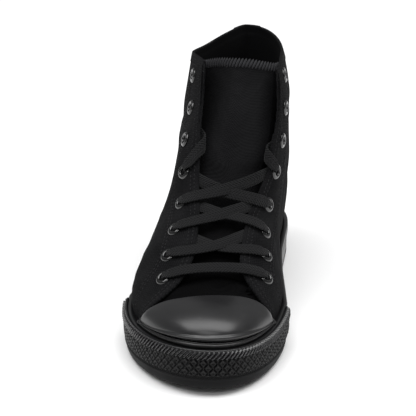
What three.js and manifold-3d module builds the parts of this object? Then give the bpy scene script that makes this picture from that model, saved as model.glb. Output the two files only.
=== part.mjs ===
// High top canvas sneaker for the right foot, unlaced above the fifth eyelet.
// Millimetres, +Z up. The toe points to -Y, the heel to +Y, and the outer (lateral) side is -X.
// All pieces are worked out on a flat sole. springUp() centres them and lifts the toe as the last step.
import * as THREE from 'three';
import { mergeVertices } from 'three/addons/utils/BufferGeometryUtils.js';
import Module from 'manifold-3d';

const wasm = await Module();
wasm.setup();

// ---- driving dimensions ----
const GAP = 0.3;                 // air between neighbouring pieces
const CANVAS = 1.8;              // canvas and lining together
const SOLE = 8;                  // outsole thickness
const WALL_TOP = 26;             // top of the rubber sidewall
const WALL = 3;                  // sidewall face to canvas face
const TOE_WALL = 5;              // the same at the toe, where the rubber is built up
const BUMPER = 2.2;              // toe bumper stands proud of the sidewall by this
const TOE_Y = -143.8;            // sidewall at the toe
const HEEL_Y = 146;              // sidewall at the heel
const BALL_Y = -55;              // widest place, where the toe curve starts
const TOE_X = 6.5;               // the toe's tip swings to the inner side
const SPRING = 5.5;              // how far the toe tip is lifted
const SPRING_Y = -70;            // the sole leaves the floor in front of this
const CENTRE_X = 2.4;            // brings the middle of the finished width to x = 0
const CROWN_BASE = 29;           // below this height the sides don't draw in over the foot
const TONGUE = 2.4;              // tongue thickness
const UNDER_FLAP = 0.7;          // air between the canvas and the tongue under it
const TONGUE_SIDE = 20;          // how far back the tongue's side edges lie behind its centre line
const INSOLE = 4;                // insole thickness
const EYELET = { flange: 5.3, barrel: 2.9, hole: 2.4, proud: 1.3, sides: 8 };
const LACE = { width: 8, thick: 1.4 };
const OVER_EYELET = 2.9;         // middle of a lace above the canvas face at an eyelet

// Outer face of the sidewall behind the ball, seen from above.
const SIDE_ROWS = [
  { y: -55, lateral: -54.5, medial: 49.5 },
  { y: -25, lateral: -51.0, medial: 45.5 },
  { y: 10, lateral: -45.5, medial: 41.0 },
  { y: 45, lateral: -40.5, medial: 38.5 },
  { y: 82, lateral: -37.0, medial: 38.5 },
];

// Height of the upper's centre line, from the toe up the instep and the front of the shaft.
const INSTEP_ROWS = [
  { y: -138.8, top: 29.5 },
  { y: -137.4, top: 34 },
  { y: -133, top: 38.8 },
  { y: -125, top: 42.8 },
  { y: -114, top: 45.6 },
  { y: -102, top: 47.8 },
  { y: -90, top: 52.5 },
  { y: -80, top: 58.5 },
  { y: -60, top: 70.5 },
  { y: -45, top: 81 },
  { y: -30, top: 93 },
  { y: -20, top: 105 },
  { y: -12, top: 123 },
  { y: -5, top: 150 },
  { y: 2, top: 185 },
  { y: 14, top: 250 },
  { y: 30, top: 400 },
  { y: 50, top: 800 },
];

// The tongue's own centre line, which falls back behind the open eyelet flaps.
const TONGUE_ROWS = [
  { y: -138.8, top: 29.5 },
  { y: -137.4, top: 34 },
  { y: -125, top: 42.8 },
  { y: -102, top: 47.8 },
  { y: -80, top: 58.0 },
  { y: -60, top: 69.5 },
  { y: -45, top: 79 },
  { y: -30, top: 89 },
  { y: -17, top: 102 },
  { y: -6, top: 122 },
  { y: 6, top: 148 },
  { y: 17, top: 172 },
  { y: 24, top: 200 },
  { y: 44, top: 400 },
];

// Level sections of the ankle and shaft: back seam, both sides, and how round each corner is.
const SHAFT_ROWS = [
  { z: 27, back: 143.0, hub: 82, lateral: -34.5, medial: 38.0, heelLateral: 2.25, heelMedial: 2.25 },
  { z: 50, back: 142.0, hub: 82, lateral: -39.0, medial: 39.5, heelLateral: 2.2, heelMedial: 2.25 },
  { z: 78, back: 137.5, hub: 78, lateral: -40.0, medial: 40.0, heelLateral: 2.0, heelMedial: 2.3 },
  { z: 105, back: 131.5, hub: 70, lateral: -37.3, medial: 39.5, heelLateral: 1.8, heelMedial: 2.4 },
  { z: 136, back: 127.5, hub: 60, lateral: -34.5, medial: 39.5, heelLateral: 1.55, heelMedial: 2.4 },
  { z: 155, back: 127.0, hub: 52, lateral: -32.0, medial: 37.5, heelLateral: 1.4, heelMedial: 2.3 },
  { z: 180, back: 127.5, hub: 46, lateral: -27.5, medial: 30.0, heelLateral: 1.3, heelMedial: 2.2 },
];

// Plan of the throat: the free edges of the two eyelet flaps, from the toe cap to the collar.
const THROAT_ROWS = [
  { lateralX: -37, lateralY: -104.5, medialX: 42, medialY: -93 },
  { lateralX: -24, lateralY: -96, medialX: 34, medialY: -88.5 },
  { lateralX: -14, lateralY: -83, medialX: 24, medialY: -79 },
  { lateralX: -9.5, lateralY: -68, medialX: 20, medialY: -66 },
  { lateralX: -9.5, lateralY: -54, medialX: 20.5, medialY: -52 },
  { lateralX: -10.5, lateralY: -38, medialX: 22, medialY: -37 },
  { lateralX: -13.5, lateralY: -20, medialX: 28, medialY: -18 },
  { lateralX: -14, lateralY: -8, medialX: 34, medialY: -6 },
  { lateralX: -14.5, lateralY: 6, medialX: 37.5, medialY: 3 },
  { lateralX: -15, lateralY: 18, medialX: 35, medialY: 18 },
];

// Plan of the toe cap's rear edge.
const CAP_EDGE = [
  { x: -41, y: -104.5 },
  { x: -27, y: -106 },
  { x: -14, y: -106 },
  { x: 0, y: -104 },
  { x: 12, y: -101 },
  { x: 25, y: -96.5 },
  { x: 35, y: -94 },
  { x: 46, y: -92.5 },
];

// Collar height from the front corners of the flaps to the heel.
const COLLAR_ROWS = [
  { y: -20, z: 169 },
  { y: 20, z: 169.5 },
  { y: 50, z: 166.5 },
  { y: 80, z: 164 },
  { y: 108, z: 166 },
  { y: 130, z: 168.5 },
];

// Eyelet centres, from the toe up.
const EYELET_ROWS = [
  { lateralY: -81, lateralZ: 50.5, medialY: -70, medialZ: 50 },
  { lateralY: -65, lateralZ: 60, medialY: -54, medialZ: 59 },
  { lateralY: -46, lateralZ: 71, medialY: -35, medialZ: 68 },
  { lateralY: -26, lateralZ: 82.5, medialY: -16, medialZ: 80 },
  { lateralY: -11, lateralZ: 99, medialY: -3, medialZ: 99 },
  { lateralY: 3, lateralZ: 117.5, medialY: 7, medialZ: 118 },
  { lateralY: 16.5, lateralZ: 136, medialY: 14, medialZ: 139 },
  { lateralY: 30, lateralZ: 155, medialY: 25, medialZ: 159 },
];

// Routes of the two loose lace ends: out of the fifth eyelets, up the flap, round its free edge
// and on up between flap and tongue. face is the way the lace's broad side looks.
const LACE_END_LATERAL = [
  { x: -26.6, y: -12.8, z: 100.2, face: [-0.68, -0.61, 0.4] },
  { x: -23.0, y: -11.9, z: 105.7, face: [-0.54, -0.75, 0.38] },
  { x: -19.9, y: -11.2, z: 110.7, face: [-0.5, -0.76, 0.41] },
  { x: -17.4, y: -10.1, z: 116.4, face: [-0.5, -0.75, 0.44] },
  { x: -14.9, y: -8.5, z: 121.8, face: [-0.46, -0.8, 0.38] },
  { x: -13.0, y: -8.2, z: 122.8, face: [0.3, -0.86, 0.42] },
  { x: -11.5, y: -6.5, z: 123.2, face: [0.88, -0.41, 0.21] },
  { x: -11.4, y: -4.4, z: 123.3, face: [0.95, 0.28, -0.12] },
  { x: -12.4, y: -2.4, z: 123.6, face: [0.46, 0.8, -0.38] },
  { x: -15.6, y: 2.2, z: 128.3, face: [0.76, 0.52, -0.38] },
  { x: -16.6, y: 8.2, z: 134.6, face: [0.82, 0.48, -0.3] },
  { x: -16.4, y: 14.4, z: 142.4, face: [0.86, 0.42, -0.28] },
];
const LACE_END_MEDIAL = [
  { x: 39.5, y: -4.0, z: 99.3, face: [0.91, -0.42, 0.02] },
  { x: 38.0, y: -5.6, z: 104.3, face: [0.83, -0.55, 0.1] },
  { x: 36.4, y: -7.1, z: 108.8, face: [0.75, -0.65, 0.12] },
  { x: 35.0, y: -7.9, z: 112.5, face: [0.66, -0.73, 0.15] },
  { x: 33.6, y: -7.6, z: 114.4, face: [-0.02, -0.88, 0.46] },
  { x: 32.0, y: -6.2, z: 115.3, face: [-0.69, -0.52, 0.5] },
  { x: 31.6, y: -4.0, z: 115.6, face: [-0.95, 0.15, 0.25] },
  { x: 32.6, y: -1.6, z: 115.5, face: [-0.75, 0.65, -0.1] },
  { x: 35.6, y: 4.2, z: 118, face: [-0.93, 0.35, 0] },
  { x: 37.3, y: 10.6, z: 121, face: [-0.97, 0.2, 0] },
  { x: 38.1, y: 17.2, z: 124, face: [-0.98, 0.15, 0] },
  { x: 38.3, y: 24.0, z: 127, face: [-0.99, 0.1, 0] },
];

// ---- curves ----
const clamp01 = (t) => Math.min(1, Math.max(0, t));
const smooth = (t) => clamp01(t) ** 2 * (3 - 2 * clamp01(t));

// Monotone cubic curve through a table's rows: the value in column `to` where column `from` is `at`.
function follow(rows, from, to, at) {
  const last = rows.length - 1;
  const x = Math.min(rows[last][from], Math.max(rows[0][from], at));
  const rise = (i) => (rows[i + 1][to] - rows[i][to]) / (rows[i + 1][from] - rows[i][from]);
  const slope = (i) => {
    if (i === 0) return rise(0);
    if (i === last) return rise(last - 1);
    const [a, b] = [rise(i - 1), rise(i)];
    return a * b <= 0 ? 0 : 2 / (1 / a + 1 / b);
  };
  let i = 0;
  while (i < last - 1 && rows[i + 1][from] < x) i += 1;
  const h = rows[i + 1][from] - rows[i][from];
  const t = (x - rows[i][from]) / h;
  return (2 * t ** 3 - 3 * t ** 2 + 1) * rows[i][to] + (t ** 3 - 2 * t ** 2 + t) * h * slope(i)
    + (3 * t ** 2 - 2 * t ** 3) * rows[i + 1][to] + (t ** 3 - t ** 2) * h * slope(i + 1);
}

// Where the centre line `rows` reaches height z.
function frontY(rows, z) {
  let [low, high] = [rows[0].y, rows[rows.length - 1].y];
  if (z <= rows[0].top) return low;
  for (let k = 0; k < 30; k += 1) {
    const mid = (low + high) / 2;
    if (follow(rows, 'y', 'top', mid) < z) low = mid;
    else high = mid;
  }
  return (low + high) / 2;
}

// Centre and half width of the plan at y, drawn in from the sidewall's face by `inset`.
function plan(y, inset) {
  const lateral = follow(SIDE_ROWS, 'y', 'lateral', y) + inset;
  const medial = follow(SIDE_ROWS, 'y', 'medial', y) - inset;
  const toe = clamp01((BALL_Y - y) / (BALL_Y - TOE_Y - inset));
  const centre = (lateral + medial) / 2;
  return {
    centre: centre + (TOE_X - centre) * toe ** 2,
    half: ((medial - lateral) / 2) * Math.sqrt(1 - toe ** 2),
  };
}

// The last: x of the upper's outer face at (y, z) on one side, -1 lateral or +1 medial.
function lastX(y, z, side, centreLine) {
  const foot = plan(y, WALL + (TOE_WALL - WALL) * smooth((-70 - y) / 40));
  const shaft = (column) => follow(SHAFT_ROWS, 'z', column, z);
  const up = smooth((z - 27) / 60) * smooth((y + 70) / 110);
  const shaftCentre = (shaft('lateral') + shaft('medial')) / 2;
  const shaftHalf = (shaft('medial') - shaft('lateral')) / 2;
  const swell = side < 0 ? 6 : 2;
  const bulge = swell * Math.sin(Math.PI * clamp01((z - 27) / 55)) * smooth((y + 90) / 40) * (1 - up);
  const lean = 4 * smooth((z - 60) / 50) * (1 - smooth((y - 10) / 60));
  const centre = foot.centre + (shaftCentre - foot.centre) * up + lean;
  const half = foot.half + (shaftHalf - foot.half) * up + bulge;
  const top = follow(centreLine, 'y', 'top', y);
  const crown = clamp01((z - CROWN_BASE) / Math.max(top - CROWN_BASE, 0.001));
  const open = smooth((z - 90) / 60);
  const vamp = smooth((y + 110) / 30) * (1 - smooth((z - 60) / 50));
  const crownRound = side < 0 ? 2 - 0.35 * vamp - 0.6 * open : 2 + open;
  const heelRound = shaft(side < 0 ? 'heelLateral' : 'heelMedial');
  const heel = clamp01((y - shaft('hub')) / (shaft('back') - shaft('hub')));
  const over = (1 - crown ** crownRound) ** (1 / crownRound);
  const behind = (1 - heel ** heelRound) ** (1 / heelRound);
  return centre + side * half * over * behind;
}

// ---- rings and lofts ----
// A ring has its toe point first, then the lateral side going back, the heel point and the medial
// side coming forward, so that points j and 2N-j face each other.
function ring(z, steps, front, back, sideX) {
  const points = [];
  for (let j = 0; j < 2 * steps; j += 1) {
    const y = (front + back) / 2 - ((back - front) / 2) * Math.cos((Math.PI * j) / steps);
    points.push(new THREE.Vector3(sideX(y, j <= steps ? -1 : 1), y, z));
  }
  return points;
}

function lastRing(z, steps, centreLine = INSTEP_ROWS) {
  const back = follow(SHAFT_ROWS, 'z', 'back', z);
  return ring(z, steps, frontY(centreLine, z), back, (y, side) => lastX(y, z, side, centreLine));
}

// A level ring of the sole's plan, grown by `grow` from the sidewall's face.
function soleRing(z, grow, steps, growToe = grow) {
  const growAt = (y) => growToe + (grow - growToe) * smooth((y + 80) / 30);
  const [hub, round] = [SHAFT_ROWS[0].hub, SHAFT_ROWS[0].heelLateral];
  return ring(z, steps, TOE_Y - growToe, HEEL_Y + grow, (y, side) => {
    const { centre, half } = plan(y, -growAt(y));
    const heel = clamp01((y - hub) / (HEEL_Y + grow - hub));
    return centre + side * half * (1 - heel ** round) ** (1 / round);
  });
}

function solidFrom(positions, indices) {
  let geometry = new THREE.BufferGeometry();
  geometry.setAttribute('position', new THREE.Float32BufferAttribute(positions, 3));
  geometry.setIndex(indices);
  geometry = mergeVertices(geometry, 1e-4);
  return new wasm.Manifold(new wasm.Mesh({
    numProp: 3,
    vertProperties: new Float32Array(geometry.attributes.position.array),
    triVerts: new Uint32Array(geometry.index.array),
  }));
}

// Closed solid through rings of equal length, each end closed by a ladder between its two sides.
function loft(rings) {
  const count = rings[0].length;
  const positions = rings.flat().flatMap((p) => [p.x, p.y, p.z]);
  const indices = [];
  const quad = (a, b, c, d) => indices.push(a, b, c, a, c, d);
  for (let i = 0; i + 1 < rings.length; i += 1) {
    for (let j = 0; j < count; j += 1) {
      const next = (j + 1) % count;
      quad(i * count + j, (i + 1) * count + j, (i + 1) * count + next, i * count + next);
    }
  }
  const top = (rings.length - 1) * count;
  for (let j = 0; j < count / 2; j += 1) {
    const [near, far] = [(count - j) % count, count - j - 1];
    quad(j, j + 1, far, near);
    quad(top + near, top + far, top + j + 1, top + j);
  }
  return solidFrom(positions, indices);
}

// Moves each point of a stack of rings along the surface's own normal, out for positive distances.
function offsetRings(rings, distance) {
  const count = rings[0].length;
  return rings.map((points, i) => points.map((point, j) => {
    const above = rings[Math.min(i + 1, rings.length - 1)][j];
    const below = rings[Math.max(i - 1, 0)][j];
    const up = above.clone().sub(below);
    const along = points[(j + 1) % count].clone().sub(points[(j - 1 + count) % count]);
    const normal = up.cross(along).normalize();
    return point.clone().addScaledVector(normal, distance);
  }));
}

// Section heights: level rows in the sidewall, then even steps along the centre line.
function sectionHeights(centreLine, stepLength, topZ) {
  const heights = [SOLE + GAP, (SOLE + WALL_TOP) / 2, WALL_TOP];
  let walked = 0;
  let previous = { y: centreLine[0].y, z: centreLine[0].top };
  heights.push(previous.z);
  for (let y = centreLine[0].y + 0.1; heights[heights.length - 1] < topZ; y += 0.1) {
    const z = follow(centreLine, 'y', 'top', y);
    walked += Math.hypot(0.1, z - previous.z);
    previous = { y, z };
    if (walked >= stepLength) {
      heights.push(Math.min(z, topZ));
      walked = 0;
    }
  }
  return heights;
}

// The last as a solid, its face moved by `offset`. `runOut` carries both open ends further out,
// for a form that cuts right through another.
function lastForm(offset, { centreLine = INSTEP_ROWS, steps = 18, step = 9.4, top = 178, runOut = 0 } = {}) {
  const rings = offsetRings(
    sectionHeights(centreLine, step, top).map((z) => lastRing(z, steps, centreLine)), offset);
  const ends = [rings[0], rings[rings.length - 1]];
  const levelled = (points, z) => points.map((p) => new THREE.Vector3(p.x, p.y, z));
  if (runOut > 0) {
    rings.unshift(levelled(ends[0], SOLE + GAP - runOut));
    rings.push(levelled(ends[1], top + runOut));
  } else {
    rings[0] = levelled(ends[0], SOLE + GAP);
  }
  return loft(rings);
}

function extruded(shape, depth, bottom = 0) {
  const geometry = new THREE.ExtrudeGeometry(shape, { depth, bevelEnabled: false, curveSegments: 8 });
  return fromGeometry(geometry.translate(0, 0, bottom));
}

function fromGeometry(source) {
  const geometry = source.clone();
  geometry.deleteAttribute('normal');
  geometry.deleteAttribute('uv');
  const merged = mergeVertices(geometry, 1e-4);
  return solidFrom(Array.from(merged.attributes.position.array), Array.from(merged.index.array));
}

const polygon = (points) => new THREE.Shape(points.map(([x, y]) => new THREE.Vector2(x, y)));

// A prism along X whose outline is given in y and z.
function sideCutter(points) {
  const geometry = new THREE.ExtrudeGeometry(polygon(points), { depth: 200, bevelEnabled: false });
  geometry.translate(0, 0, -100);
  geometry.applyMatrix4(new THREE.Matrix4().makeBasis(
    new THREE.Vector3(0, 1, 0), new THREE.Vector3(0, 0, 1), new THREE.Vector3(1, 0, 0)));
  return fromGeometry(geometry);
}

// ---- pieces ----
// Plan of the throat, grown outwards by `grow` where the tongue reaches under the flaps.
function throatShape(grow) {
  const forward = 2 + grow * 0.4;
  const lateral = THROAT_ROWS.map((r) => [r.lateralX - grow, r.lateralY - grow * 0.4]);
  const medial = THROAT_ROWS.map((r) => [r.medialX + grow, r.medialY - grow * 0.4]);
  const front = CAP_EDGE.slice(1, -1).map((r) => [r.x, r.y - forward]);
  const behind = [[-15 - grow, 45], [35 + grow, 45]];
  return polygon([...front.reverse(), ...lateral, ...behind, ...medial.reverse()]);
}

function makeUpper() {
  const collar = [];
  for (let y = -20; y <= 131; y += 10) collar.push([y, follow(COLLAR_ROWS, 'y', 'z', y)]);
  const collarCut = sideCutter([...collar, [150, 169], [150, 240], [-150, 240], [-150, 169]]);
  let upper = lastForm(0)
    .subtract(lastForm(-CANVAS, { runOut: 30 }))
    .subtract(extruded(throatShape(0), 260, 20))
    .subtract(collarCut);
  for (const { place } of eyeletPlaces()) {
    const hole = new THREE.CylinderGeometry(EYELET.barrel + GAP, EYELET.barrel + GAP, 14, EYELET.sides);
    hole.rotateX(Math.PI / 2);
    upper = upper.subtract(fromGeometry(hole.applyMatrix4(place)));
  }
  return upper;
}

function makeTongue() {
  const options = { centreLine: TONGUE_ROWS, steps: 15, step: 12 };
  const shell = lastForm(-CANVAS - UNDER_FLAP, options)
    .subtract(lastForm(-CANVAS - UNDER_FLAP - TONGUE, { ...options, runOut: 30 }));
  const topArc = [];
  for (let x = -60; x <= 70; x += 5) topArc.push([x, 171 - ((x - 10) ** 2) / 110]);
  const topCut = new THREE.ExtrudeGeometry(polygon([...topArc, [70, 260], [-60, 260]]),
    { depth: 300, bevelEnabled: false });
  topCut.rotateX(Math.PI / 2).translate(0, 150, 0);
  const sideEdge = [];
  for (let z = 90; z <= 180; z += 15) sideEdge.push([frontY(TONGUE_ROWS, z) + TONGUE_SIDE, z]);
  return shell
    .intersect(extruded(throatShape(8), 260, WALL_TOP + 2))
    .intersect(sideCutter([[-170, 20], [-25, 20], [-25, 80], ...sideEdge, [-170, 180]]))
    .subtract(fromGeometry(topCut));
}

function makeOutsole() {
  let sole = loft([
    soleRing(0, -2, 24, 0.2),
    soleRing(2, -0.4, 24, 1.8),
    soleRing(SOLE, 0, 24, BUMPER),
  ]);
  const arch = new THREE.BoxGeometry(52, 62, 2.4).translate(1, 14, 0);
  sole = sole.subtract(fromGeometry(arch));
  for (let k = 0; k < 6; k += 1) {
    const groove = new THREE.BoxGeometry(78 - 5 * k, 3, 3).translate(1, -37 - 16 * k, 0);
    sole = sole.subtract(fromGeometry(groove));
  }
  for (let k = 0; k < 5; k += 1) {
    const groove = new THREE.BoxGeometry(54, 3, 3).translate(3.5, 62 + 14 * k, 0);
    sole = sole.subtract(fromGeometry(groove));
  }
  return sole;
}

function makeSidewall() {
  const outside = loft([
    soleRing(SOLE + GAP, 0, 24),
    soleRing(WALL_TOP - 1.5, 0, 24),
    soleRing(WALL_TOP, -1, 24),
  ]);
  return outside.subtract(lastForm(GAP, { runOut: 30 }));
}

function makeBumper() {
  const outside = loft([
    soleRing(SOLE + GAP, BUMPER, 28),
    soleRing(WALL_TOP - 2, BUMPER, 28),
    soleRing(WALL_TOP - 0.6, BUMPER - 0.8, 28),
  ]);
  const inside = loft([soleRing(0, GAP, 28), soleRing(50, GAP, 28)]);
  const keep = sideCutter([[-170, 0], [-63, 0], [-60.5, 13], [-60.5, 20], [-64, 60], [-170, 60]]);
  return outside.subtract(inside).intersect(keep);
}

// Lower edge of the toe cap: 32 mm up at the tip and a little lower at its corners.
const capLowZ = (y) => 32 - 0.055 * (y + 143);

function makeToeShell(offset, thick, sideOutline) {
  const edge = CAP_EDGE.map((r) => [r.x, r.y]);
  const rearEdge = polygon([[-70, -200], [70, -200], [70, -92], ...edge.reverse(), [-70, -104]]);
  return lastForm(offset + thick, { steps: 28 })
    .subtract(lastForm(offset, { steps: 28, runOut: 30 }))
    .intersect(sideCutter(sideOutline))
    .intersect(extruded(rearEdge, 200, 0));
}

function makeToeCap() {
  return makeToeShell(GAP, 1.7, [[-170, capLowZ(-170)], [-80, capLowZ(-80)], [-80, 90], [-170, 90]]);
}

function makeToeGuard() {
  const top = (y) => capLowZ(y) - GAP;
  const low = WALL_TOP + GAP;
  return makeToeShell(GAP, 1.2, [[-170, low], [-80, low], [-80, top(-80)], [-170, top(-170)]]);
}

function makeInsole() {
  const rings = [SOLE + GAP, SOLE + GAP + INSOLE].map((z) => {
    const [points] = offsetRings([lastRing(z, 18), lastRing(z + 1, 18)], -CANVAS - GAP - 0.2);
    return points.map((p) => new THREE.Vector3(p.x, p.y, z));
  });
  return loft(rings);
}

// Frames for the eyelets: origin on the canvas face, +Z along its outward normal.
function eyeletPlaces() {
  const places = [];
  EYELET_ROWS.forEach((row, index) => {
    for (const [name, side] of [['lateral', -1], ['medial', 1]]) {
      const [y, z] = [row[`${name}Y`], row[`${name}Z`]];
      const x = (yy, zz) => lastX(yy, zz, side, INSTEP_ROWS);
      const normal = new THREE.Vector3(side, -side * (x(y + 1, z) - x(y - 1, z)) / 2,
        -side * (x(y, z + 1) - x(y, z - 1)) / 2).normalize();
      const turn = new THREE.Quaternion().setFromUnitVectors(new THREE.Vector3(0, 0, 1), normal);
      const place = new THREE.Matrix4().compose(
        new THREE.Vector3(x(y, z), y, z), turn, new THREE.Vector3(1, 1, 1));
      places.push({ name: `eyelet_${name}_${index + 1}`, place, normal });
    }
  });
  return places;
}

function makeEyelet(place) {
  const { flange, barrel, hole, proud, sides } = EYELET;
  const profile = [
    [hole, -CANVAS - 0.4], [barrel, -CANVAS - 0.4], [barrel, 0.5],
    [flange, 0.5], [flange - 1, proud], [hole + 0.4, proud], [hole, -CANVAS - 0.4],
  ].map(([r, h]) => new THREE.Vector2(r, h));
  const geometry = new THREE.LatheGeometry(profile, sides).rotateX(Math.PI / 2);
  return fromGeometry(geometry.applyMatrix4(place));
}

// A surface point of the last, found by walking out of the foot from `inside`.
function surfaceFrom(inside, outward) {
  const within = (p) => p.x > lastX(p.y, p.z, -1, INSTEP_ROWS) && p.x < lastX(p.y, p.z, 1, INSTEP_ROWS)
    && p.z < follow(INSTEP_ROWS, 'y', 'top', p.y);
  let [low, high] = [-12, 40];
  for (let k = 0; k < 24; k += 1) {
    const mid = (low + high) / 2;
    if (within(inside.clone().addScaledVector(outward, mid))) low = mid;
    else high = mid;
  }
  return inside.clone().addScaledVector(outward, low);
}

// Flat ribbon over the last from one eyelet towards another, `until` of the way, at the given lifts.
function laceRun(from, to, until, lifts) {
  const outward = from.normal.clone().add(to.normal).setX(0).normalize();
  const [start, end] = [from.place, to.place].map((m) => new THREE.Vector3().setFromMatrixPosition(m));
  const count = 9;
  const surface = (t) => surfaceFrom(start.clone().lerp(end, t), outward);
  const rings = [];
  for (let k = 0; k <= count; k += 1) {
    const t = (until * k) / count;
    const here = surface(t);
    const along = surface(t + 0.01).sub(surface(Math.max(t - 0.01, 0))).normalize();
    const across = along.clone().cross(from.normal.clone().lerp(to.normal, t)).normalize();
    const up = across.clone().cross(along).normalize();
    const place = (k / count) * (lifts.length - 1);
    const row = Math.floor(place);
    const lift = lifts[row] + ((lifts[row + 1] ?? lifts[row]) - lifts[row]) * (place - row);
    const corner = (w, h) => here.clone().addScaledVector(up, lift + h * LACE.thick / 2)
      .addScaledVector(across, w * LACE.width / 2);
    rings.push([corner(-1, -1), corner(1, -1), corner(1, 1), corner(-1, 1)]);
  }
  return loft(rings);
}

// How far along a run its lace dips under the other flap's free edge.
function untilEdge(from, to) {
  const [start, end] = [from.place, to.place].map((m) => new THREE.Vector3().setFromMatrixPosition(m));
  const name = end.x > 0 ? 'medial' : 'lateral';
  const edge = follow(THROAT_ROWS, `${name}Y`, `${name}X`, end.y - 3) - Math.sign(end.x) * 5.5;
  return (edge - start.x) / (end.x - start.x);
}

const eyelet = (side, row) => eyeletPlaces().find(({ name }) => name === `eyelet_${side}_${row}`);

function makeLaceBar() {
  const lifts = [OVER_EYELET, 2.7, 1.2, 1.2, 2.7, OVER_EYELET + 0.6];
  return laceRun(eyelet('lateral', 1), eyelet('medial', 1), 1, lifts);
}

function makeLaceCross(row) {
  const [lateral, medial] = [eyelet('lateral', row), eyelet('medial', row)];
  const [overLateral, overMedial] = [eyelet('lateral', row + 1), eyelet('medial', row + 1)];
  const onTop = laceRun(lateral, overMedial, untilEdge(lateral, overMedial), [OVER_EYELET, 2.5, 1.0, -0.4]);
  const beneath = laceRun(medial, overLateral, untilEdge(medial, overLateral), [OVER_EYELET, 2.5, 0.2, -0.6]);
  return onTop.add(beneath);
}

// A loose lace end: a flat tube of eight sides along its route.
function makeLaceEnd(route) {
  const path = new THREE.CatmullRomCurve3(route.map(({ x, y, z }) => new THREE.Vector3(x, y, z)));
  const facing = new THREE.CatmullRomCurve3(route.map(({ face }) => new THREE.Vector3(...face)));
  const [steps, sides] = [17, 8];
  const rings = [];
  for (let k = 0; k <= steps; k += 1) {
    const t = k / steps;
    const along = path.getTangent(t);
    const across = along.clone().cross(facing.getPoint(t)).normalize();
    const up = across.clone().cross(along).normalize();
    rings.push(Array.from({ length: sides }, (_, j) => {
      const angle = ((j + 0.5) * 2 * Math.PI) / sides;
      return path.getPoint(t).addScaledVector(across, Math.cos(angle) * LACE.width * 0.54)
        .addScaledVector(up, Math.sin(angle) * LACE.thick * 0.54);
    }));
  }
  return loft(rings);
}

// ---- toe spring and the scene graph ----
const spring = (y) => SPRING * clamp01((SPRING_Y - y) / (SPRING_Y - TOE_Y + BUMPER)) ** 2;

function springUp(solid) {
  const { vertProperties, triVerts } = solid.getMesh();
  const positions = Float32Array.from(vertProperties);
  for (let k = 0; k < positions.length; k += 3) {
    positions[k] += CENTRE_X;
    positions[k + 2] += spring(positions[k + 1]);
  }
  const geometry = new THREE.BufferGeometry();
  geometry.setAttribute('position', new THREE.BufferAttribute(positions, 3));
  geometry.setIndex(Array.from(triVerts));
  return geometry;
}

const CANVAS_BLACK = { color: 0x1d1d1e, roughness: 0.9, metalness: 0 };
const RUBBER_BLACK = { color: 0x232324, roughness: 0.6, metalness: 0 };
const CAP_RUBBER = { color: 0x3a3a3b, roughness: 0.35, metalness: 0 };
const LACE_BLACK = { color: 0x222223, roughness: 0.85, metalness: 0 };
const ENAMEL_BLACK = { color: 0x0c0c0d, roughness: 0.2, metalness: 0.6 };

const sneaker = new THREE.Group();
function place(name, solid, finish) {
  const mesh = new THREE.Mesh(springUp(solid), new THREE.MeshStandardMaterial(finish));
  mesh.name = name;
  sneaker.add(mesh);
}

place('outsole', makeOutsole(), RUBBER_BLACK);
place('upper', makeUpper(), CANVAS_BLACK);
place('tongue', makeTongue(), CANVAS_BLACK);
place('insole', makeInsole(), CANVAS_BLACK);
place('sidewall', makeSidewall(), RUBBER_BLACK);
place('toe_bumper', makeBumper(), RUBBER_BLACK);
place('toe_guard', makeToeGuard(), RUBBER_BLACK);
place('toe_cap', makeToeCap(), CAP_RUBBER);
for (const { name, place: at } of eyeletPlaces()) place(name, makeEyelet(at), ENAMEL_BLACK);

place('lace_bar', makeLaceBar(), LACE_BLACK);
for (const row of [2, 3, 4]) place(`lace_cross_${row - 1}`, makeLaceCross(row), LACE_BLACK);
place('lace_end_lateral', makeLaceEnd(LACE_END_LATERAL), LACE_BLACK);
place('lace_end_medial', makeLaceEnd(LACE_END_MEDIAL), LACE_BLACK);

export default sneaker;
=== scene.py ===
"""High top canvas sneaker for the right foot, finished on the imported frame.

All shapes are worked out in millimetres on a flat sole, and settle() moves them to the frame:
it centres them, lifts the toe and turns millimetres into metres.
Toe to -Y, heel to +Y, outer (lateral) side to -X, inner (medial) side to +X, +Z up.
"""
from functools import partial
from math import pi, radians

import bmesh
import bpy
import numpy as np
from mathutils import Matrix, Vector
from mathutils.kdtree import KDTree


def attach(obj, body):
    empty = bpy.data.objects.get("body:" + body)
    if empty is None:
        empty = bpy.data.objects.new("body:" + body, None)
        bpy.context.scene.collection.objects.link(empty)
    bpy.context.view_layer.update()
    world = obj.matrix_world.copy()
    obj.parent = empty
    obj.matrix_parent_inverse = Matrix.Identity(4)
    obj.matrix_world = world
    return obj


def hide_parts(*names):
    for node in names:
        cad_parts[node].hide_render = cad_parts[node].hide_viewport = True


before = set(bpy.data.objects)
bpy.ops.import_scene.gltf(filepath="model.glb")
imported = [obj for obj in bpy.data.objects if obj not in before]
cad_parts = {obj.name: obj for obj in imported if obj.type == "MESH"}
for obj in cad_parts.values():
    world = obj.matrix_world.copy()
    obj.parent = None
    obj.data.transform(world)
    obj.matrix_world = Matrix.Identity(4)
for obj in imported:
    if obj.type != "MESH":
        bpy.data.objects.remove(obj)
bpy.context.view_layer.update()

# ---- driving dimensions, in millimetres ----
CANVAS = 1.8  # canvas and lining together
WALL_TOP = 26.0  # top of the rubber sidewall
WALL = 3.0  # sidewall face to canvas face
TOE_WALL = 5.0  # the same at the toe
BUMPER = 2.2  # the bumper stands proud of the sidewall
TOE_Y, HEEL_Y = -143.8, 146.0
BALL_Y = -55.0  # the sole is widest here
TOE_X = 6.5  # the toe's tip lies inwards
HEEL_HUB, HEEL_ROUND = 82.0, 2.25  # where the heel's curve starts, and how square it is
SPRING, SPRING_Y = 5.5, -70.0  # lift of the toe, and where the lift starts
CENTRE_X = 2.4  # brings the sole's middle to the frame's
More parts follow.
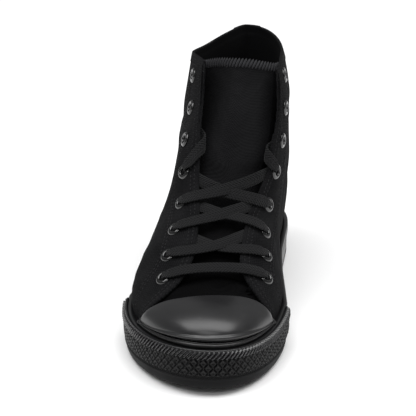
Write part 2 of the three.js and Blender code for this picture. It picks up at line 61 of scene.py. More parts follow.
CROWN_BASE = 29.0  # the foot rounds over above this
TONGUE_FACE = 2.5  # under the canvas face
TONGUE = 2.4  # thickness of vamp and tongue
COLLAR_TOP = 169.5
CORNER = 5.0  # radius of the flaps' top front corners
FOOT_LINE = 11.0  # lower edge of the canvas, inside the sidewall
HEEL_COLUMN = 139  # of the quarters' grid, along the heel seam
LACE_WIDTH, LACE_THICK = 8.0, 1.4
LACE_PINCHED = 4.2  # width of a lace where an eyelet squeezes it
LACE_CLEAR = 4.0  # a run starts this far from the middle of its eyelet
HOLE, FLANGE, PROUD = 2.4, 5.3, 1.3  # an eyelet's two radii and its height
FOLD = {-1: (113.5, 27.0), 1: (108.0, 29.0)}  # each loose end: height of its fold, length tucked in
FOLD_ROUND = 3.0  # a loose end bends round the flap's middle at this radius
SAG = {2: 12.0, 3: 7.0, 4: 6.0}  # how far each crossing hangs towards the toe
STRIP = 12.0  # half the width of the heel strip
FLAP_SEAMS, PANEL_SEAMS = (3.0, 6.0), (25.0, 28.0)  # distances from a flap's free edge
STITCH = 3.0  # pitch of the seams
SERRATION = 1.6  # pitch of the fine upright teeth round the toe
DIAMOND, DIAMOND_TALL, DIAMOND_Z = 5.6, 6.6, 15.4  # the knurl's diamonds and a row's middle
RIB_PITCH, RIB_SLANT = 2.8, 0.9
RIB_LOW = 21.1  # knurl below, slanted ribs above
LUG = 9.0  # pitch of the tread's lozenges


def table(columns, *rows):
    return dict(zip(columns.split(), np.array(rows, float).T))


SIDE = table("y lateral medial",
        (-55, -54.5, 49.5), (-25, -51, 45.5), (10, -45.5, 41), (45, -40.5, 38.5),
        (82, -37, 38.5))
INSTEP = table("y top",
        (-138.8, 29.5), (-137.4, 34), (-133, 38.8), (-125, 42.8), (-114, 45.6), (-102, 47.8),
        (-90, 52.5), (-80, 58.5), (-60, 70.5), (-45, 81), (-30, 93), (-20, 105), (-12, 123),
        (-5, 150), (2, 185), (14, 250), (30, 400), (50, 800))
TONGUE_LINE = table("y top",
        (-138.8, 29.5), (-137.4, 34), (-125, 42.8), (-102, 47.8), (-80, 58), (-60, 69.5),
        (-45, 79), (-30, 89), (-17, 102), (-6, 122), (6, 148), (17, 172), (24, 200),
        (44, 400))
SHAFT = table("z back hub lateral medial heel_lateral heel_medial",
        (27, 143, 82, -34.5, 38, 2.25, 2.25), (50, 142, 82, -39, 39.5, 2.2, 2.25),
        (78, 137.5, 78, -40, 40, 2, 2.3), (105, 131.5, 70, -37.3, 39.5, 1.8, 2.4),
        (136, 127.5, 60, -34.5, 39.5, 1.55, 2.4), (155, 127, 52, -32, 37.5, 1.4, 2.3),
        (180, 127.5, 46, -27.5, 30, 1.3, 2.2))
# Free edges of the two flaps in plan; the first row of each lies under the toe cap.
THROAT = {
    -1: table("y x", (-112, -54), (-104.5, -37), (-96, -24), (-83, -14), (-68, -9.5), (-54, -9.5),
        (-38, -10.5), (-20, -13.5), (-8, -14), (6, -14.5), (18, -15)),
    1: table("y x", (-101, 56), (-93, 42), (-88.5, 34), (-79, 24), (-66, 20), (-52, 20.5), (-37, 22),
        (-18, 28), (-6, 34), (3, 37.5), (18, 35)),
}
CAP_EDGE = table("x y", (-41, -104.5), (-27, -106), (-14, -106), (0, -104), (12, -101),
        (25, -96.5), (35, -94), (46, -92.5))
COLLAR = table("y z", (-20, 169), (20, 169.5), (50, 166.5), (80, 164), (108, 166), (130, 168.5))
EYELETS = {
    -1: [(-81, 50.5), (-65, 60), (-46, 71), (-26, 82.5), (-11, 99), (3, 117.5), (16.5, 136), (30, 155)],
    1: [(-70, 50), (-54, 59), (-35, 68), (-16, 80), (-3, 99), (7, 118), (14, 139), (25, 159)],
}
SIDE_NAME = {-1: "lateral", 1: "medial"}


# ---- curves and the form of the foot ----
def clamp(t):
    return np.clip(t, 0.0, 1.0)


def smooth(t):
    t = clamp(t)
    return t * t * (3 - 2 * t)


def stacked(*parts):
    return np.stack(parts, axis=-1)


def unit(v):
    return v / (np.linalg.norm(v, axis=-1, keepdims=True) + 1e-12)


def follow(rows, start, to, at):
    """Monotone cubic curve through a table: column `to` where column `start` is `at`."""
    xs, ys = rows[start], rows[to]
    at = np.clip(at, xs[0], xs[-1])
    step = np.diff(xs)
    rise = np.diff(ys) / step
    a, b = rise[:-1], rise[1:]
    total = np.where(a * b > 0, a + b, 1.0)
    slope = np.concatenate([rise[:1], np.where(a * b > 0, 2 * a * b / total, 0.0), rise[-1:]])
    i = np.clip(np.searchsorted(xs, at) - 1, 0, len(xs) - 2)
    h = step[i]
    t = (at - xs[i]) / h
    return ((2 * t**3 - 3 * t**2 + 1) * ys[i] + (t**3 - 2 * t**2 + t) * h * slope[i]
            + (3 * t**2 - 2 * t**3) * ys[i + 1] + (t**3 - t**2) * h * slope[i + 1])


def halve(test, low, high, rounds=26):
    """The place between low and high where `test` stops being true."""
    for _ in range(rounds):
        middle = (low + high) / 2
        true = test(middle)
        low, high = np.where(true, middle, low), np.where(true, high, middle)
    return low


def eased(count):
    """Shares from 0 to 1, closer together near both ends."""
    return (1 - np.cos(pi * np.linspace(0, 1, count))) / 2


def front_y(ridge, z):
    """Where the ridge first reaches the level z."""
    z = np.asarray(z, float)
    low = np.full(z.shape, ridge["y"][0])
    found = halve(lambda y: follow(ridge, "y", "top", y) < z, low, low * 0 + ridge["y"][-1])
    return np.where(z <= ridge["top"][0], ridge["y"][0], found)


def plan(y, inset):
    """Middle and half width of the sole's plan, drawn in by the inset."""
    lateral = follow(SIDE, "y", "lateral", y) + inset
    medial = follow(SIDE, "y", "medial", y) - inset
    toe = clamp((BALL_Y - y) / (BALL_Y - TOE_Y - inset))
    centre = (lateral + medial) / 2
    return centre + (TOE_X - centre) * toe**2, (medial - lateral) / 2 * np.sqrt(1 - toe**2)


def last_x(y, z, side, ridge=INSTEP):
    """x of the canvas's outer face at (y, z) on one side, -1 lateral or +1 medial."""
    foot_centre, foot_half = plan(y, WALL + (TOE_WALL - WALL) * smooth((-70 - y) / 40))
    shaft = {name: follow(SHAFT, "z", name, z) for name in SHAFT}
    up = smooth((z - 27) / 60) * smooth((y + 70) / 110)
    shaft_centre = (shaft["lateral"] + shaft["medial"]) / 2
    shaft_half = (shaft["medial"] - shaft["lateral"]) / 2
    lateral = np.asarray(side) < 0
    bulge = np.where(lateral, 6, 2) * np.sin(pi * clamp((z - 27) / 55)) * smooth((y + 90) / 40) * (1 - up)
    lean = 4 * smooth((z - 60) / 50) * (1 - smooth((y - 10) / 60))
    centre = foot_centre + (shaft_centre - foot_centre) * up + lean
    half = foot_half + (shaft_half - foot_half) * up + bulge
    top = follow(ridge, "y", "top", y)
    crown = clamp((z - CROWN_BASE) / np.maximum(top - CROWN_BASE, 0.001))
    opened = smooth((z - 90) / 60)
    vamp = smooth((y + 110) / 30) * (1 - smooth((z - 60) / 50))
    crown_round = np.where(lateral, 2 - 0.35 * vamp - 0.6 * opened, 2 + opened)
    heel_round = np.where(lateral, shaft["heel_lateral"], shaft["heel_medial"])
    heel = clamp((y - shaft["hub"]) / (shaft["back"] - shaft["hub"]))
    over = (1 - crown**crown_round) ** (1 / crown_round)
    behind = (1 - heel**heel_round) ** (1 / heel_round)
    return centre + side * half * over * behind


def on_face(y, z, side, ridge=INSTEP):
    return stacked(last_x(y, z, side, ridge), y, z)


def spring(y):
    return SPRING * clamp((SPRING_Y - y) / (SPRING_Y - TOE_Y + BUMPER)) ** 2


def settle(points):
    """From the flat sole's millimetres to the frame's metres."""
    moved = np.array(points, float)
    moved[..., 2] += spring(moved[..., 1])
    moved[..., 0] += CENTRE_X
    return moved / 1000


def within(points, ridge):
    x, y, z = np.moveaxis(points, -1, 0)
    return ((x > last_x(y, z, -1, ridge)) & (x < last_x(y, z, 1, ridge))
            & (z < follow(ridge, "y", "top", y)))


def skin(start, direction, ridge=INSTEP, low=-12.0, high=45.0):
    """Where lines from inside the foot come out of the canvas."""
    start, direction = np.broadcast_arrays(start, direction)
    reach = np.full(start.shape[:-1], low)
    found = halve(lambda s: within(start + s[..., None] * direction, ridge), reach, reach * 0 + high)
    return start + found[..., None] * direction


def away(points):
    """Roughly outward directions at points near the canvas's face."""
    x, y, z = np.moveaxis(points, -1, 0)
    up = smooth((z - 70) / 50)
    return unit(stacked(x - 4, -15 - 15 * up, 30 - 18 * up))


def face(points, ridge=INSTEP):
    """Nearest canvas points along away(), and the face's normals there."""
    direction = away(points)
    first = unit(np.cross(direction, [0.0, 0.0, 1.0]))
    second = np.cross(direction, first)
    here = skin(points, direction, ridge)
    return here, unit(np.cross(skin(points + 0.6 * first, direction, ridge) - here,
            skin(points + 0.6 * second, direction, ridge) - here))


# ---- lines and grids of points ----
def lengths(points, axis=0):
    step = np.linalg.norm(np.diff(points, axis=axis), axis=-1)
    return np.insert(np.cumsum(step, axis=axis), 0, 0.0, axis=axis)


def between(values, along, where):
    """Rows of values at the places `where`; `along` is each row's own place."""
    return np.stack([np.interp(where, along, column) for column in values.T], axis=1)


def even(points, count):
    along = lengths(points)
    return between(points, along, np.linspace(0, along[-1], count))


def spline(points, count):
    """Catmull-Rom curve through the points, in equal steps of its first three columns."""
    p = np.vstack([2 * points[0] - points[1], points, 2 * points[-1] - points[-2]])
    t = np.linspace(0, 1, 24, endpoint=False)[:, None]
    parts = [0.5 * (2 * b + (c - a) * t + (2 * a - 5 * b + 4 * c - d) * t**2
            + (3 * b - a - 3 * c + d) * t**3) for a, b, c, d in zip(p, p[1:], p[2:], p[3:])]
    dense = np.vstack(parts + [points[-1:]])
    along = lengths(dense[:, :3])
    return between(dense, along, np.linspace(0, along[-1], count))


def core(points):
    """A line inside the foot that every outer face looks away from."""
    y, z = points[..., 1], points[..., 2]
    centre = follow(SIDE, "y", "lateral", y) / 2 + follow(SIDE, "y", "medial", y) / 2
    return stacked(centre + 3, np.clip(y, -100, 100) * 0.8 + 15, np.clip(z, 0, 90) * 0.5 + 8)


def outwards(points):
    """Normals of a grid, and a number above 0 if they look outwards."""
    normal = unit(np.cross(np.gradient(points, axis=1), np.gradient(points, axis=0)))
    return normal, np.sum(normal * (points - core(points)))


def normals(points, wrap=False):
    """Outward normals of a grid of points."""
    grid = np.hstack([points[:, -2:-1], points, points[:, 1:2]]) if wrap else points
    normal = outwards(grid)[0]
    normal = normal[:, 1:-1] if wrap else normal
    return normal * np.sign(np.sum(normal * (points - core(points))))


def bump(distance, width):
    return np.exp(-((distance / width) ** 2))


# ---- meshes ----
def place(name, data):
    thing = bpy.data.objects.new(name, data)
    bpy.context.scene.collection.objects.link(thing)
    return thing


def to_mesh(name, work):
    mesh = bpy.data.meshes.new(name)
    work.to_mesh(mesh)
    work.free()
    return mesh


def grid_mesh(name, points, uv=None, outward=True):
    """A grid of quads moved to the points, facing out, with its own UV map in metres."""
    if outward and outwards(points)[1] < 0:
        points = points[:, ::-1]
        uv = None if uv is None else uv[:, ::-1]
    if uv is None:
        uv = stacked(lengths(points, 1), lengths(points, 0)) / 1000
    rows, columns = points.shape[:2]
    work = bmesh.new()
    bmesh.ops.create_grid(work, x_segments=columns - 1, y_segments=rows - 1, size=1)
    mesh = to_mesh(name, work)
    flat = np.empty(len(mesh.vertices) * 3)
    mesh.vertices.foreach_get("co", flat)
    flat = flat.reshape(-1, 3)[:, :2]
    flat = (flat - flat.min(0)) / (flat.max(0) - flat.min(0))
    column, row = np.rint(flat * (columns - 1, rows - 1)).astype(int).T
    mesh.vertices.foreach_set("co", settle(points)[row, column].ravel())
    corner = np.empty(len(mesh.loops), int)
    mesh.loops.foreach_get("vertex_index", corner)
    layer = mesh.uv_layers.new(name="measure")
    layer.data.foreach_set("uv", uv[row[corner], column[corner]].ravel())
    return mesh


def make_piece(name, meshes, materials, replaces=(), close=False, thickness=0):
    """A finished piece from a grid or a list of meshes; touching points merge.

    `close` turns all faces outwards. A thickness backs an outer face; the last material lines it.
    """
    if not isinstance(meshes, list):
        meshes = [grid_mesh(name, meshes)]
    work = bmesh.new()
    for mesh in meshes:
        work.from_mesh(mesh)
        bpy.data.meshes.remove(mesh)
    bmesh.ops.remove_doubles(work, verts=work.verts, dist=2e-6)
    if close:
        bmesh.ops.recalc_face_normals(work, faces=work.faces)
    piece = place(name, to_mesh(name, work))
    piece.data.shade_smooth()
    for material in materials:
        piece.data.materials.append(material)
    if thickness:
        solid = piece.modifiers.new("thickness", "SOLIDIFY")
        solid.thickness, solid.offset = thickness / 1000, -1
        solid.use_even_offset, solid.use_quality_normals = False, True
        solid.material_offset = len(materials) - 1
    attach(piece, "root")
    if replaces:
        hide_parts(*replaces)
    return piece


# ---- materials ----
def srgb(code):
    parts = [int(code[i:i + 2], 16) / 255 for i in (1, 3, 5)]
    linear = [p / 12.92 if p <= 0.04045 else ((p + 0.055) / 1.055) ** 2.4 for p in parts]
    return (*linear, 1.0)


def feed(node, inputs):
    """Set a node's inputs, each to a value or to another node's output."""
    for key, value in inputs.items():
        if isinstance(value, bpy.types.NodeSocket):
            node.id_data.links.new(value, node.inputs[key])
        else:
            node.inputs[key].default_value = value


def add_node(tree, kind, inputs=None, stops=(), **settings):
    """Add a node with its settings, colour stops and inputs, and give its outputs."""
    node = tree.nodes.new("ShaderNode" + kind)
    for key, value in settings.items():
        setattr(node, key, value)
    for stop, (position, code) in enumerate(stops):
        node.color_ramp.elements[stop].position = position
        node.color_ramp.elements[stop].color = srgb(code)
    feed(node, inputs or {})
    return node.outputs


def new_material(name, **values):
    """A material, its shader, and what adds nodes to it."""
    material = bpy.data.materials.new(name)
    material.use_nodes = True
    shader = material.node_tree.nodes["Principled BSDF"]
    feed(shader, {key.replace("_", " "): value for key, value in values.items()})
    return material, shader, partial(add_node, material.node_tree)


def woven(name, dark, light, thread, rough, relief, sheen, slub=1.0, painted_shade_heights=None):
    """Cotton plain weave from the piece's own measure; `thread` is one thread's width in metres.

    Real canvas has threads of about half a millimetre; they are drawn coarser so that they show.
    The last argument is two heights in metres: below the first the colour is painted darkest, as painted
    shade, and it is full above the second.
    """
    material, shader, add = new_material(
        name, Roughness=rough, Sheen_Weight=sheen, Sheen_Roughness=0.55, Specular_IOR_Level=0.03)
    where = add("UVMap", uv_map="measure")["UV"]
    split = add("SeparateXYZ", {0: where})
    waves = []
    for axis in "XY":
        turns = add("Math", {0: split[axis], 1: pi / thread}, operation="MULTIPLY")
        waves += add("Math", {0: turns[0]}, operation="SINE")[:]
    cell = add("Math", {0: waves[0], 1: waves[1]}, operation="MULTIPLY")
    stretch = add("Mapping", {"Vector": where, "Scale": (1, 9, 1)})
    slubs = add("TexNoise", {"Vector": stretch[0], "Scale": 0.12 / thread, "Detail": 3.0})
    patches = add("TexNoise", {"Vector": where, "Scale": 45.0, "Detail": 4.0})
    yarn = add("Math", {0: slubs["Fac"], 1: slub}, operation="MULTIPLY")
    height = add("Math", {0: cell[0], 1: 0.5, 2: yarn[0]}, operation="MULTIPLY_ADD")
    worn = add("Math", {0: patches["Fac"], 1: 0.5}, operation="MULTIPLY")
    # Painted highlight and painted shade: the colour follows the weave's height, lighter on thread crests
    # and slubs and darker between the threads; the worn patches add random tone.
    shade = add("Math", {0: height[0], 1: 0.35, 2: worn[0]}, operation="MULTIPLY_ADD")
    colour = add("ValToRGB", {"Fac": shade[0]}, stops=((0.15, dark), (0.75, light)))
    if painted_shade_heights:
        # Painted shade: the colour is darkened towards the bottom, to a quarter below the first height.
        level = add("SeparateXYZ", {0: add("TexCoord")["Object"]})
        fade = add("MapRange", {"Value": level["Z"], "From Min": painted_shade_heights[0],
                "From Max": painted_shade_heights[1], "To Min": 0.25, "To Max": 1.0})
        colour = add("VectorMath", {0: colour[0], "Scale": fade[0]}, operation="SCALE")
    bumps = add("Bump", {"Height": height[0], "Strength": relief, "Distance": thread * 0.3})
    feed(shader, {"Base Color": colour[0], "Normal": bumps[0]})
    return material


def rubber(name, dark, light, rough, shine, grain=0.0, relief=0.0, limits=(0.3, 0.7),
        spots=(38.0, 5.0, 0.6)):
    """Rubber or enamel: patches rubbed smoother than the rest, and a fine mould grain in metres."""
    material, shader, add = new_material(name, Specular_IOR_Level=shine)
    where = add("TexCoord")["Object"]
    patches = add("TexNoise", {"Vector": where, "Scale": spots[0], "Detail": spots[1],
        "Roughness": spots[2]})
    spread = add("MapRange", {"Value": patches["Fac"], "From Min": limits[0], "From Max": limits[1],
        "To Min": rough[0], "To Max": rough[1]})
    colour = add("ValToRGB", {"Fac": patches["Fac"]}, stops=((0.3, dark), (0.7, light)))
    feed(shader, {"Base Color": colour[0], "Roughness": spread[0]})
    if grain:
        grains = add("TexNoise", {"Vector": where, "Scale": 1 / grain, "Detail": 2.0})
        bumps = add("Bump", {"Height": grains["Fac"], "Strength": relief, "Distance": grain * 0.25})
        feed(shader, {"Normal": bumps[0]})
    return material


def braided(name, rib, column):
    """Flat braid: herringbone ribs that meet along its middle, and columns of yarn, in metres."""
    material, shader, add = new_material(name, Roughness=0.85, Sheen_Weight=0.03, Sheen_Roughness=0.5,
            Specular_IOR_Level=0.12)
    where = add("UVMap", uv_map="measure")["UV"]
    split = add("SeparateXYZ", {0: where})
    off_middle = add("Math", {0: split["X"]}, operation="ABSOLUTE")
    slant = add("Math", {0: off_middle[0], 1: 0.9, 2: split["Y"]}, operation="MULTIPLY_ADD")
    height = add("TexNoise", {"Vector": where, "Scale": 900.0, "Detail": 3.0})
    for place_in, width, tall in ((slant, rib, 0.5), (off_middle, column, 0.25)):
        turns = add("Math", {0: place_in[0], 1: 2 * pi / width}, operation="MULTIPLY")
        wave = add("Math", {0: turns[0]}, operation="SINE")
        height = add("Math", {0: wave[0], 1: tall, 2: height[0]}, operation="MULTIPLY_ADD")
    # Painted highlight and painted shade: the braid's colour follows its height, lighter on rib and column
    # crests and darker between them, with random fuzz.
    shade = add("Math", {0: height[0], 1: 0.4, 2: 0.5}, operation="MULTIPLY_ADD")
    colour = add("ValToRGB", {"Fac": shade[0]}, stops=((0.0, "#040404"), (0.55, "#141415")))
    bumps = add("Bump", {"Height": height[0], "Strength": 0.8, "Distance": 0.0005})
    feed(shader, {"Base Color": colour[0], "Normal": bumps[0]})
    return material


# Cotton duck: dull black with a faint grey nap.
CANVAS_MAT = woven("black_cotton_canvas", "#060607", "#1c1c1d", 0.0012, 0.95, 0.6, 0.01)
# The tongue's lighter cloth shows its weft as fine level lines; the vamp under the laces is painted
# darker, a painted shade.
TONGUE_MAT = woven("black_tongue_canvas", "#09090a", "#1b1b1c", 0.0009, 0.94, 0.5, 0.0, 1.5, (0.06, 0.095))
# Twill lining: darker and flatter than the outside.
LINING_MAT = woven("black_cotton_lining", "#080809", "#121213", 0.0008, 0.97, 0.35, 0.01)
INSOLE_MAT = woven("black_insole_cloth", "#0a0a0b", "#151516", 0.0008, 0.97, 0.35, 0.01)
# Waxed sewing thread: a touch smoother than the canvas, so stitches catch the light.
THREAD_MAT = woven("black_overlock_thread", "#1c1c1e", "#38383a", 0.0004, 0.6, 0.4, 0.04)
SEAM_MAT = woven("black_sewing_thread", "#131314", "#272728", 0.0004, 0.7, 0.4, 0.03)
# Vulcanised rubber off a polished mould: satin, with a broad soft highlight.
CAP_MAT = rubber("satin_toe_cap_rubber", "#171718", "#1d1d1e", (0.28, 0.36), 0.5, 0.0005, 0.06)
# The same rubber, less polished.
WALL_MAT = rubber("sidewall_rubber", "#0d0d0e", "#161617", (0.28, 0.4), 0.5, 0.0006, 0.12)
BUMPER_MAT = rubber("knurled_bumper_rubber", "#030304", "#060607", (0.26, 0.38), 0.2, 0.0006, 0.1)
# The same rubber on the band of slanted ribs: smoother, and painted lighter as a painted highlight.
RIB_HIGHLIGHT_MAT = rubber("rib_rubber_painted_highlight", "#161617", "#242426", (0.18, 0.28), 0.7, 0.0006, 0.1)
# Outsole: dull, with a coarser grain.
OUTSOLE_MAT = rubber("outsole_rubber", "#080809", "#101011", (0.5, 0.66), 0.1, 0.0009, 0.3)
# Baked enamel over pressed brass: gloss like black glass, with a faint ripple.
ENAMEL_MAT = rubber("black_baked_enamel", "#050506", "#0a0a0b", (0.04, 0.12), 0.7,
    limits=(0.0, 1.0), spots=(900.0, 3.0, 0.5))
# Braided cotton: its ribs and columns are about 1 mm wide, drawn at twice that so that they show.
LACE_MAT = braided("black_braided_lace", 0.0021, 0.0016)


# ---- camera, lights and floor ----
def aimed(name, data, spot, forward):
    thing = place(name, data)
    thing.location = spot
    thing.rotation_euler = forward.to_track_quat("-Z", "Y").to_euler()
    return thing


def make_camera():
    data = bpy.data.cameras.new("camera")
    data.lens, data.sensor_width, data.clip_end = 129.8, 36, 20
    spot = Vector((113.8 + CENTRE_X, -957.2, 430.1)) / 1000
    bpy.context.scene.camera = aimed("camera", data, spot, Vector((-0.1197, 0.9289, -0.3499)))


def make_light(name, spot, target, size, power):
    data = bpy.data.lights.new(name, "AREA")
    data.shape = "RECTANGLE"
    data.size, data.size_y = size
    data.energy = power
    aimed(name, data, spot, Vector(target) - Vector(spot))


def make_studio():
    world = bpy.data.worlds.new("studio")
    world.use_nodes = True
    feed(world.node_tree.nodes["Background"], {"Color": srgb("#ffffff"), "Strength": 0.28})
    bpy.context.scene.world = world
    bpy.context.scene.view_settings.view_transform = "Standard"
    make_light("softbox_above", (0.1, -0.35, 2.3), (0, 0.1, 0), (4.8, 1.8), 114)
    make_light("softbox_front", (0.1, -1.5, 1.3), (0, -0.1, 0.03), (1.5, 0.3), 6)
    work = bmesh.new()
    bmesh.ops.create_grid(work, x_segments=1, y_segments=1, size=6)
    floor = place("floor", to_mesh("floor", work))
    material, shader, add = new_material("pale_floor", Roughness=0.6)
    noise = add("TexNoise", {"Vector": add("TexCoord")["Object"], "Scale": 3.0})
    colour = add("ValToRGB", {"Fac": noise["Fac"]}, stops=((0.3, "#f4f4f4"), (0.7, "#f8f8f8")))
    feed(shader, {"Base Color": colour[0]})
    floor.data.materials.append(material)


# ---- laces ----
def lace_section(count):
    """The rounded flat section of a lace: across and through, each from -1 to 1."""
    angle = np.linspace(0, 2 * pi, count)
    return [np.sign(wave) * np.abs(wave) ** power
            for wave, power in ((np.cos(angle), 0.7), (np.sin(angle), 0.5))]


def lace_width(narrow):
    return LACE_WIDTH - (LACE_WIDTH - LACE_PINCHED) * narrow


def closed_ends(count):
    """A lace's rows with both ends doubled, and 0 where an extra row closes to a point."""
    return [0, *range(count), count - 1], np.array([0] + [1] * count + [0])[:, None]


def ribbon_mesh(middle, facing, width, thick):
    """A flat lace along the points; its measure is the way off its middle and the length walked."""
    along = unit(np.gradient(middle, axis=0))
    across = unit(np.cross(along, facing))
    up = np.cross(across, along)
    flat, high = lace_section(17)
    rows, size = closed_ends(len(middle))
    off = flat * width[rows][:, None] / 2
    rise = high * thick[rows][:, None] / 2
    reach = across[rows][:, None] * off[..., None] + up[rows][:, None] * rise[..., None]
    grid = middle[rows][:, None] + size[..., None] * reach
    walked = lengths(middle)[rows][:, None] + off * 0
    return grid_mesh("lace", grid, stacked(off, walked) / 1000, outward=False)


def eyelet_place(side, row):
    y, z = EYELETS[side][row - 1]
    dy = (last_x(y + 1, z, side) - last_x(y - 1, z, side)) / 2
    dz = (last_x(y, z + 1, side) - last_x(y, z - 1, side)) / 2
    return on_face(y, z, side), unit(np.array([side, -side * dy, -side * dz]))


def folded(side, walk, sideways, lift):
    """Points of a loose end: along the lace, off its middle, and off the canvas.

    It lies flat from the fifth eyelet to the flap's free edge, bends round the edge, and lies up
    the flap's inner face. The second value is the length from the eyelet to the edge.
    """
    heights = FOLD[side][0] + np.arange(-1.0, 2.0)
    edge = on_face(throat_y(heights, side), heights, side)
    tangent = unit(edge[2] - edge[0])
    normal = face(edge[1:2])[1][0]
    normal = unit(normal - tangent * (normal @ tangent))
    inward = np.cross(tangent, normal)
    inward *= -side * np.sign(inward[0])
    hole, _ = eyelet_place(side, 5)
    start = np.array([(hole - edge[1]) @ tangent, (hole - edge[1]) @ inward])
    run = unit(-start)
    t = start[0] + walk * run[0] - sideways * run[1]
    n = start[1] + walk * run[1] + sideways * run[0]
    turn = np.clip(n / FOLD_ROUND, 0, pi)
    radius = FOLD_ROUND + lift
    flat = np.where(n < 0, n, radius * np.sin(turn) - np.maximum(n - pi * FOLD_ROUND, 0))
    height = -CANVAS / 2 + radius * np.cos(turn)
    foot = edge[1] + t[..., None] * tangent + np.minimum(flat, 0)[..., None] * inward
    laid = skin(foot, normal)
    laid = laid + np.maximum(flat, 0)[..., None] * inward + height[..., None] * normal
    return laid, np.linalg.norm(start)


def make_lace_end(side):
    name, count = SIDE_NAME[side], 100
    to_edge = folded(side, *np.zeros((3, 1)))[1]
    walk = np.linspace(0, to_edge + pi * FOLD_ROUND + FOLD[side][1], count)
    rise = np.interp(walk, [0, 1.2, 2.2, 3.2, 5.5, 10], [-3.2, -1.6, 0.4, 1.1, 1.1, 0])
    flat, high = lace_section(21)
    rows, size = closed_ends(count)
    off = (lace_width(1 - smooth((walk - 2.5) / 6)) / 2)[rows][:, None] * flat * size
    along = walk[rows][:, None] + off * 0
    grid, _ = folded(side, along, off, high * (LACE_THICK / 2) * size + rise[rows][:, None])
    mesh = grid_mesh("end", grid, stacked(off, along) / 1000, outward=False)
    piece = make_piece(f"loose_lace_{name}", [mesh], [LACE_MAT], [f"lace_end_{name}"], True)
    path = settle(folded(side, walk, walk * 0, rise)[0])


def throat_x(side, y):
    return follow(THROAT[side], "y", "x", y)


def lace_run(start, end, lifts, until, sag):
    """Middle and facing of a lace that goes a share of the way to an eyelet, lifted off the canvas."""
    (a, na), (b, nb), count = start, end, 60
    outward = unit(np.array([0, 1, 1]) * (na + nb))
    t = np.linspace(0, until, count)[:, None]
    lower = sag * np.array([0, -0.77, -0.64])
    here = skin(a + (b - a) * t + lower * np.sin(pi * t), outward)
    ahead = skin(a + (b - a) * (t + 0.01) + lower * np.sin(pi * (t + 0.01)), outward)
    along = unit(ahead - here)
    lean = unit(na + (nb - na) * t)
    across = unit(np.cross(along, lean))
    up = np.cross(across, along)
    lift = np.interp(np.linspace(0, 1, count), np.linspace(0, 1, len(lifts)), lifts)
    kernel = np.hanning(11) / np.hanning(11).sum()
    lift = np.convolve(np.pad(lift, 5, mode="edge"), kernel, mode="valid")
    return here + up * lift[:, None], up


def through_hole(eyelet, toward):
    """Points that bring a lace up out of an eyelet's hole and lay it towards a point."""
    centre, normal = eyelet
    run = unit(toward - centre)
    run = unit(run - normal * np.dot(run, normal))
    steps = [(-1.9, -0.4), (-0.6, -0.2), (0.7, 0.2), (1.7, 1.1)]
    points = np.array([centre + normal * h + run * s for h, s in steps])
    return points, np.array([unit(-run + normal * f) for f in (0.0, 0.1, 0.35, 0.9)])


def lace_mesh(start, end, lifts, until=1.0, sag=0.0):
    """A run with its way through the first hole, and through the last one if it goes all the way."""
    middle, facing = lace_run(start, end, lifts, until, sag)
    points, faces = through_hole(start, middle[12])
    keep = lengths(middle) > LACE_CLEAR
    points, faces = np.vstack([points, middle[keep]]), np.vstack([faces, facing[keep]])
    lands = until == 1.0
    if lands:
        landing = through_hole(end, middle[-12])
        keep = lengths(points)[-1] - lengths(points) > LACE_CLEAR
        points = np.vstack([points[keep], landing[0][::-1]])
        faces = np.vstack([faces[keep], landing[1][::-1]])
    path = spline(np.hstack([points, faces]), 110)
    walked = lengths(path[:, :3])
    narrow = 1 - smooth((walked - 3.5) / 7)
    if lands:
        narrow += 1 - smooth((walked[-1] - walked - 3.5) / 7)
    thick = LACE_THICK + 0.5 * narrow
    return ribbon_mesh(path[:, :3], unit(path[:, 3:]), lace_width(narrow), thick)


def make_lace_bar():
    mesh = lace_mesh(eyelet_place(-1, 1), eyelet_place(1, 1), [2.6, 2.3, 1.2, 1.2, 2.3, 2.6])
    make_piece("lace_over_first_eyelets", [mesh], [LACE_MAT], ["lace_bar"], True)


def make_lace_cross(row):
    """Two runs; each dips under the far flap and ends a little behind it."""
    meshes = []
    for side, lifts in ((-1, [2.6, 2.2, 1.5, 1.0, -0.2, -2.2]), (1, [2.6, 2.2, 0.8, -0.6, -1.2, -2.2])):
        start, end = eyelet_place(side, row), eyelet_place(-side, row + 1)
        (from_x, _, _), (to_x, to_y, _) = start[0], end[0]
        until = (throat_x(-side, to_y - 3) + side - from_x) / (to_x - from_x) + 0.08
        meshes.append(lace_mesh(start, end, lifts, until, SAG[row]))
    make_piece(f"lace_crossing_{row - 1}", meshes, [LACE_MAT], [f"lace_cross_{row - 1}"], True)


# ---- eyelets ----
def make_eyelets(side):
    """Pressed eyelets: each a rolled ring spun round its hole."""
    profile = [(HOLE, -2.0), (HOLE, 0.3), (HOLE + 0.12, 0.75), (HOLE + 0.5, 1.15), (HOLE + 1.1, PROUD),
            (HOLE + 1.8, 1.2), (HOLE + 2.4, 0.85), (FLANGE - 0.2, 0.4), (FLANGE, 0.15),
            (FLANGE - 0.3, 0.05), (HOLE + 0.5, 0.05), (HOLE + 0.5, -2.0)]
    name, meshes = SIDE_NAME[side], []
    for row in range(1, 9):
        centre, normal = eyelet_place(side, row)
        work = bmesh.new()
        verts = [work.verts.new((r / 1000, 0, h / 1000)) for r, h in profile]
        edges = [work.edges.new(pair) for pair in zip(verts, verts[1:] + verts[:1])]
        bmesh.ops.spin(work, geom=verts + edges, cent=(0, 0, 0), axis=(0, 0, 1), angle=2 * pi,
                steps=28, use_merge=True, use_duplicate=False)
        turn = Vector((0, 0, 1)).rotation_difference(Vector(normal)).to_matrix().to_4x4()
        matrix = Matrix.Translation(Vector(settle(centre))) @ turn
        bmesh.ops.transform(work, matrix=matrix, verts=work.verts)
        meshes.append(to_mesh("eyelet", work))
    nodes = [f"eyelet_{name}_{row}" for row in range(1, 9)]
    make_piece(f"eyelets_{name}", meshes, [ENAMEL_MAT], nodes, True)


